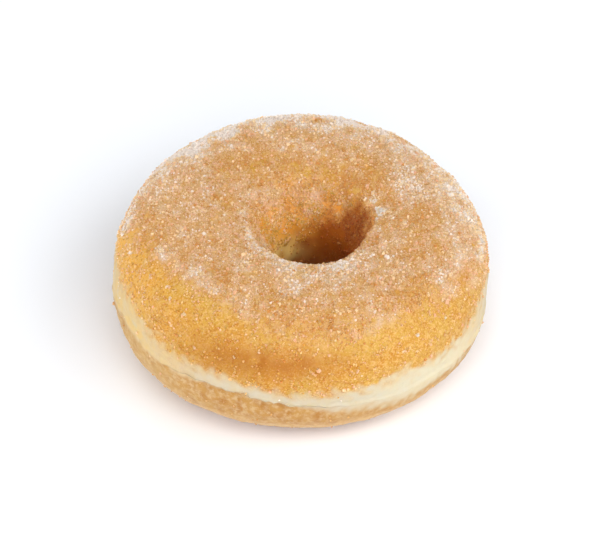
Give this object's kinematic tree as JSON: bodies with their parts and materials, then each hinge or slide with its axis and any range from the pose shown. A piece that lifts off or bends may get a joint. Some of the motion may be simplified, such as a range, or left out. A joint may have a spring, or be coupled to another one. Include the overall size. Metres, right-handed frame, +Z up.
{
  "type": "sugar doughnut",
  "caption": "Yeast-raised ring doughnut, fried golden with a pale band round its side and rolled in granulated sugar.",
  "frame": {"origin": "on the table, under the middle of the ring's bounding box", "axes": "+Z up as the doughnut lies; -Y towards the side where the pale band juts out over the lower crust"},
  "size_m": [0.0912, 0.0932, 0.0382],
  "materials": {
    "fried_dough": "satin",
    "granulated_sugar": "crystalline"
  },
  "bodies": {
    "root": {"doughnut_ring": "fried_dough"}
  },
  "joints": []
}
